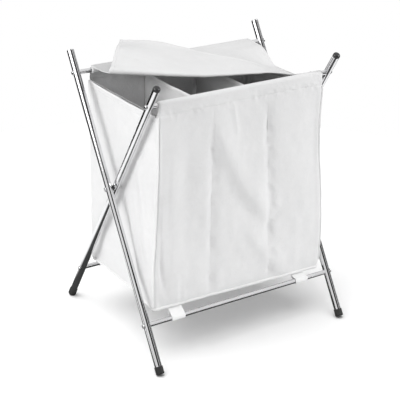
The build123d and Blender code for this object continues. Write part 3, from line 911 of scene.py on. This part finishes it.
# %% The two sleeves
def sleeve(name, y_axis, body, node, seed):
    """A tube of cloth along X: its outer skin, turned ends and inner skin are one closed surface."""
    low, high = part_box(node)
    x_out = np.linspace(low.x, high.x, 150)
    x_in = x_out[::-1][::6]
    skin = np.concatenate([x_out, x_in])
    near_end = np.minimum(x_out - low.x, high.x - x_out)
    outer = SLEEVE_RADIUS - 0.0008 - 0.0009 * bump(near_end, 0.0012)
    radius = np.append(outer, np.full(len(x_in), BAR_RADIUS + 0.0006))[:, None]
    a, x = np.meshgrid(np.linspace(0, 2 * np.pi, 36, endpoint=False), skin)
    rings = 0.00045 * crumple(x + 1, a * 0.01, 0.009, 0.012, seed)
    r = radius + rings * ease(SLEEVE_RADIUS - radius, 0.0016, 0.0008)
    points = np.stack([x, y_axis + r * np.cos(a), TOP_Z + r * np.sin(a)], -1)
    along = round_lengths(np.hstack([skin[:, None], radius]))
    piece = surface(name, points, np.linspace(0, 2 * np.pi * SLEEVE_RADIUS, 37), along,
                    round_u=True, round_v=True)
    return finish_piece(outward(piece), BAG_CLOTH, "bag_cloth", body, node)


front_sleeve = sleeve("front_sleeve_cloth", -TOP_Y, "inner_frame", "front_sleeve", 101)
back_sleeve = sleeve("back_sleeve_cloth", TOP_Y, "outer_frame", "back_sleeve", 103)
print("sleeves", front_sleeve.name, back_sleeve.name)

# %% [markdown]
# ## Straps
# Four loops of wide webbing hold the bag's lower edge to the bottom bars. A loop leaves the bag's edge,
# goes down round the bar and comes back up to the same edge. Its line in the Y-Z plane is the tight
# outline of two circles, one at the bag's edge and one round the bar, and a flat oval band is carried
# along it.

# %% The four straps
STRAP_THICKNESS = 0.0015
STRAP_ROWS, STRAP_SIDES = 72, 28


def loop_line(y_bar, z_bar, r_bar, y_tip, z_tip, r_tip, count):
    """The tight outline of two circles: two arcs joined by two straight tangents, at even steps."""
    dy, dz = y_tip - y_bar, z_tip - z_bar
    span, heading = math.hypot(dy, dz), math.atan2(dz, dy)
    open_angle = math.acos((r_bar - r_tip) / span)
    big = heading + np.linspace(open_angle, 2 * math.pi - open_angle, 60)
    small = heading + np.linspace(-open_angle, open_angle, 20)
    outline = np.concatenate([
        np.stack([y_bar + r_bar * np.cos(big), z_bar + r_bar * np.sin(big)], -1),
        np.stack([y_tip + r_tip * np.cos(small), z_tip + r_tip * np.sin(small)], -1)])
    along = round_lengths(outline)
    even = np.linspace(0, along[-1], count, endpoint=False)
    return at_places(even, along, np.vstack([outline, outline[:1]])), along[-1]


def strap(name, node, seed):
    """A webbing loop: the band's rounded rectangle is carried round the loop's line."""
    low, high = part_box(node)
    x_mid, half = (low.x + high.x) / 2, (high.x - low.x) / 2 - 0.0005
    side = -1 if low.y < 0 else 1
    line, total = loop_line(LOW_BAR_Y, LOW_BAR_Z, BAR_RADIUS + 0.0007 + STRAP_THICKNESS / 2,
                            WALL_Y - 0.0016, BAG_FLOOR_Z + hang(x_mid, side * WALL_Y) + 0.0012,
                            STRAP_THICKNESS * 0.62, STRAP_ROWS)
    tangent = unit(np.roll(line, -1, 0) - np.roll(line, 1, 0))
    outwards = np.stack([tangent[:, 1], -tangent[:, 0]], -1)
    angle = np.linspace(0, 2 * np.pi, STRAP_SIDES, endpoint=False)
    wide = np.sign(np.cos(angle)) * np.abs(np.cos(angle)) ** 0.25 * half
    thick = np.sign(np.sin(angle)) * np.abs(np.sin(angle)) ** 0.45 * STRAP_THICKNESS / 2
    ripple = 0.0005 * crumple(wide + 1, np.arange(STRAP_ROWS)[:, None] * 0.0016, 0.012, 0.015, seed)
    lift = thick + ripple * ease(line[:, 1:], LOW_BAR_Z + 0.006, LOW_BAR_Z + 0.015)
    y, z = (line[:, k, None] + outwards[:, k, None] * lift for k in (0, 1))
    x = (x_mid + wide)[None].repeat(STRAP_ROWS, 0)
    around = round_lengths(np.stack([wide, thick], -1))
    piece = surface(name, np.stack([x, side * y, z], -1), around, np.linspace(0, total, STRAP_ROWS + 1),
                    round_u=True, round_v=True)
    return finish_piece(outward(piece), WEBBING, "strap_webbing", "bag", node)


straps = [strap(f"{node}_webbing", node, 120 + k) for k, node in enumerate(
    ("front_strap_left", "front_strap_right", "back_strap_left", "back_strap_right"))]
print("straps", [s.name for s in straps])

# %% [markdown]
# ## The cover
# The cover is a rectangle of cloth as wide as the bag and long enough to reach from the back bar to the
# front bar. It is sewn along the back sleeve. Its front left corner has been turned over and back, as a
# page is turned, so the underside shows. The surface follows the flat sheet: each point of the sheet
# keeps its distance from the crease. What lies before the crease stays below, then comes a half turn
# round the crease with a small radius that shrinks to nothing at the right, and the rest lies above.

# %% The cover
COVER_LENGTH = 0.335
CREASE_LEFT, CREASE_RIGHT = 0.087, 0.300
CREASE_PLACES = (0, 0.25, 0.5, 0.75, 1)
CREASE_HEIGHTS = (0.0170, 0.0012, -0.0065, -0.0020, 0.0)
CURL_RADIUS = 0.0085
LIFT_PLACES = (0.0, 0.18, 0.39, 0.59, 0.79, 1.0)
LIFT_HEIGHTS = (0.040, 0.0683, 0.0567, 0.0439, 0.0115, 0.0)
LIFT_REACH = 0.2184
SLIDE_X, SLIDE_Y = -0.050, -0.020
CORNER_DROOP = 0.030
BACK_HEIGHT = 0.0131
RIGHT_SAG = 0.032


def cover_point(s, t):
    """Where the flat sheet's point (s across from the middle, t forward from the back bar) lies."""
    w, from_left = HALF_WIDTH, s + HALF_WIDTH
    slope = math.atan((CREASE_RIGHT - CREASE_LEFT) / (2 * w))
    c, d = math.cos(slope), math.sin(slope)
    along = from_left * c + (t - CREASE_LEFT) * d
    beyond = -from_left * d + (t - CREASE_LEFT) * c
    share = np.clip(along / (2 * w / c), 0, 1)
    crease = through(share, CREASE_PLACES, CREASE_HEIGHTS)
    # before the crease: the sheet lies below and dips a little between the bar and the crease
    part = from_left / (2 * w)
    reach = np.clip(t / (CREASE_LEFT + (CREASE_RIGHT - CREASE_LEFT) * part), 0, 1)
    lower_z = ((1 - reach) * BACK_HEIGHT + reach * through(part, CREASE_PLACES, CREASE_HEIGHTS)
               - 0.016 * reach * (1 - reach))
    # beyond it: the half turn, then the part that lies above
    radius = np.maximum(CURL_RADIUS * (1 - share), 0.0011)
    turn_angle = np.clip(beyond / radius, 0, np.pi)
    past = np.clip(beyond - np.pi * radius, 0, None)
    offset = np.where(past > 0, -past, radius * np.sin(turn_angle))
    slide = np.clip(past / LIFT_REACH, 0, 1)
    lifted = through(share, LIFT_PLACES, LIFT_HEIGHTS) * slide
    droop = CORNER_DROOP * np.exp(-(from_left**2 + (t - COVER_LENGTH) ** 2) / 0.07**2)
    upper_z = crease + radius * (1 - np.cos(turn_angle)) + lifted - droop
    upper = beyond > 0
    x = np.where(upper, -w + along * c - offset * d + SLIDE_X * slide, s)
    y = np.where(upper, TOP_Y - (CREASE_LEFT + along * d + offset * c) + SLIDE_Y * slide, TOP_Y - t)
    z = TOP_Z + np.where(upper, upper_z, lower_z)
    x = x - 0.8 * np.clip(x - (w - 0.003), 0, None)
    side = ease(x, w - 0.13, w) * ease(TOP_Y - y, 0.06, 0.15) * (1 - ease(TOP_Y - y, 0.22, 2 * TOP_Y))
    ripple = 0.0016 * crumple(s, t, 0.06, 0.05, 141) + 0.0006 * crumple(s, t, 0.02, 0.02, 142)
    return np.stack([x - 0.0065 * side, y, z - RIGHT_SAG * side + ripple * ease(t, 0.0, 0.03)], -1)


s_line, t_line = np.linspace(-HALF_WIDTH, HALF_WIDTH, 150), np.linspace(0, COVER_LENGTH, 120)
cover_grid = cover_point(*np.meshgrid(s_line, t_line))
cover_sheet = surface("cover_sheet", cover_grid, s_line + 1, t_line, flip=True)
thicken(cover_sheet, 0.0012, 0.0)
finish_piece(cover_sheet, COVER_CLOTH, "cover_cloth", "cover", "cover_flap")


def edge_hem(name, s_values, t_values, inward):
    """A flat hem along one edge of the cover: a thin oval band that lies on both faces of its edge."""
    path = cover_point(s_values, t_values)
    into = unit(cover_point(s_values + inward[0] * 0.004, t_values + inward[1] * 0.004) - path)
    out = unit(np.cross(np.gradient(path, axis=0), into))
    piece = band(name, path + into * 0.0042, out, into, 0.0110, 0.0024)
    return finish_piece(piece, COVER_CLOTH, "cover_cloth", "cover"), path + into * 0.0075, out


EDGE_POINTS = 120
ones, down = np.ones(EDGE_POINTS), np.linspace(0.006, COVER_LENGTH, EDGE_POINTS)
edges = {"front": (np.linspace(-HALF_WIDTH, HALF_WIDTH, EDGE_POINTS), COVER_LENGTH * ones, (0, -1)),
         "left": (-HALF_WIDTH * ones, down, (1, 0)), "right": (HALF_WIDTH * ones, down, (-1, 0))}
cover_pieces, cover_rows = [], []
for edge, place_and_side in edges.items():
    hem, line, out = edge_hem(f"cover_{edge}_hem", *place_and_side)
    cover_pieces.append(hem)
    if edge != "right":
        cover_rows += [(line + out * 0.0009, out), (line - out * 0.0009, -out)]
cover_stitching = stitches("cover_stitching", cover_rows)
finish_piece(cover_stitching, THREAD, "cover_cloth", "cover")
cover_pieces.append(cover_stitching)
print("cover reaches", [round(float(v), 3) for v in cover_grid.reshape(-1, 3).max(0)])

# %% [markdown]
# ## Folding
# When the frames close, the bars come together and the real bag gathers into a flat bundle between them.
# Here every cloth piece that rides on the bag or the cover only gets its own copy of its mesh.

# %% Give each cloth piece its own mesh
bag_pieces = ([bag_walls, bag_base, left_divider, left_divider_hem, right_divider, right_divider_hem, binding,
               bag_stitching] + corner_seams + side_hems + straps)
for piece in bag_pieces:
    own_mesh(piece)

# the cover ends up between the two folded bars; its pieces get their own meshes too
for piece in [cover_sheet] + cover_pieces:
    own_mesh(piece)
print("pieces that gather", len(bag_pieces) + 1 + len(cover_pieces))

# %% [markdown]
# ## Studio
# White goods need soft light from the sides, so that each fold of the cloth is brighter on one flank
# than on the other. Three softboxes light the sorter and a broad sun lights only the floor. Light
# linking keeps them apart, so the cover doesn't burn out while the floor stays white.

# %% Floor
FLOOR_RADIUS = 1.6
disc_angle = np.linspace(0, 2 * np.pi, 96, endpoint=False)
disc = FLOOR_RADIUS * np.stack([np.cos(disc_angle), np.sin(disc_angle), 0 * disc_angle], -1)
floor = mesh_object("studio_floor", disc, [list(range(len(disc)))])
floor.location.z = -0.0005
FLOOR_PAINT, floor_tree, floor_shader = new_material("pale floor")
floor_place = floor_tree.nodes.new("ShaderNodeTexCoord")
floor_radius = floor_tree.nodes.new("ShaderNodeVectorMath")
floor_radius.operation = "LENGTH"
feed(floor_tree, floor_radius.inputs[0], floor_place.outputs["Object"])
distance = floor_radius.outputs["Value"]
# painted reflection: mirror rays see the floor dark within half a metre of the sorter and again near its rim,
# and pale in the ring between
ring_shade = math_node(floor_tree, "MULTIPLY", spread(floor_tree, distance, 0.50, 0.64),
                       spread(floor_tree, distance, 1.20, 1.35, 1.0, 0.0))
painted_floor_reflection = mix(floor_tree, ring_shade, (0.05, 0.05, 0.05), (0.85, 0.85, 0.85))
floor_path = floor_tree.nodes.new("ShaderNodeLightPath")
floor_colour = mix(floor_tree, floor_path.outputs["Is Glossy Ray"], (0.90, 0.90, 0.90), painted_floor_reflection)
feed(floor_tree, floor_shader.inputs["Base Color"], floor_colour)
floor_shader.inputs["Roughness"].default_value = 0.9
floor_shader.inputs["Specular IOR Level"].default_value = 0.0
floor.data.materials.append(FLOOR_PAINT)

# %% [markdown]
# Chrome shows its surroundings, so it needs something dark to reflect. To mirror rays the world has two
# dark patches and a dark lower part, as in a real studio with black cards, and the floor carries a painted
# reflection: for mirror rays only, its colour is dark close to the sorter. Everything else sees an even
# pale world and a white floor.

# %% Lights and world
tubes = [nodes[entry["node"]] for entry in subparts if entry["material_slot"] == "chrome_tube"]


def put_lamp(light, place, towards, listed, state):
    """Puts a light at a place, facing a direction. It lights the listed objects, or all but those."""
    lamp = bpy.data.objects.new(light.name, light)
    bpy.context.scene.collection.objects.link(lamp)
    facing = Vector(towards).to_track_quat("-Z", "Y").to_matrix().to_4x4()
    lamp.matrix_world = Matrix.Translation(Vector(place)) @ facing
    linked = bpy.data.collections.new(f"{light.name} receivers")
    for thing in listed:
        linked.objects.link(thing)
    for member in linked.collection_objects:
        member.light_linking.link_state = state
    lamp.light_linking.receiver_collection = linked


def softbox(name, place, target, size, power, dark_objects):
    """A square area light that faces a point and leaves the given objects dark."""
    light = bpy.data.lights.new(name, "AREA")
    light.shape, light.size, light.energy = "SQUARE", size, power
    put_lamp(light, place, Vector(target) - Vector(place), dark_objects, "EXCLUDE")


softbox("top", (-0.3, 0.3, 2.8), (0, 0, 0.3), 1.6, 3, [floor])
softbox("left side", (-2.4, -0.2, 1.9), (0, 0, 0.5), 1.3, 46, [floor])
softbox("right key", (2.4, -1.9, 2.2), (0, 0, 0.4), 1.0, 68, [floor] + tubes)

floor_light = bpy.data.lights.new("floor light", "SUN")
floor_light.energy, floor_light.angle = 3.2, math.radians(75)
put_lamp(floor_light, (0, 0, 0), (0.34, -0.05, -1.0), [floor], "INCLUDE")

world = bpy.data.worlds.new("studio")
bpy.context.scene.world = world
world.use_nodes = True
sky_tree = world.node_tree
sky_tree.nodes.clear()
direction = sky_tree.nodes.new("ShaderNodeTexCoord").outputs["Generated"]


def card(towards, inner, outer):
    """A dark card in the mirrored world: 1 within the inner angle of a direction, 0 beyond the outer."""
    node = sky_tree.nodes.new("ShaderNodeVectorMath")
    node.operation = "DOT_PRODUCT"
    node.inputs[1].default_value = Vector(towards).normalized()
    feed(sky_tree, node.inputs[0], direction)
    return spread(sky_tree, node.outputs["Value"], *(math.cos(math.radians(a)) for a in (outer, inner)))


split = sky_tree.nodes.new("ShaderNodeSeparateXYZ")
feed(sky_tree, split.inputs[0], direction)
below = spread(sky_tree, split.outputs["Z"], 0.10, -0.05)
cards = math_node(sky_tree, "MAXIMUM", card((0.00, -0.84, 0.52), 22, 29), card((0.84, -0.46, 0.28), 15, 22))
dark = math_node(sky_tree, "MAXIMUM", cards, below)
mirrored = mix(sky_tree, dark, (0.90, 0.90, 0.90), (0.02, 0.02, 0.02))
ray = sky_tree.nodes.new("ShaderNodeLightPath")
sky = mix(sky_tree, ray.outputs["Is Glossy Ray"], (0.44, 0.44, 0.44), mirrored)
sky = mix(sky_tree, ray.outputs["Is Camera Ray"], sky, (1.0, 1.0, 1.0))
background = sky_tree.nodes.new("ShaderNodeBackground")
feed(sky_tree, background.inputs["Color"], sky)
output = sky_tree.nodes.new("ShaderNodeOutputWorld")
feed(sky_tree, output.inputs["Surface"], background.outputs["Background"])
bpy.context.scene.view_settings.view_transform = "Standard"
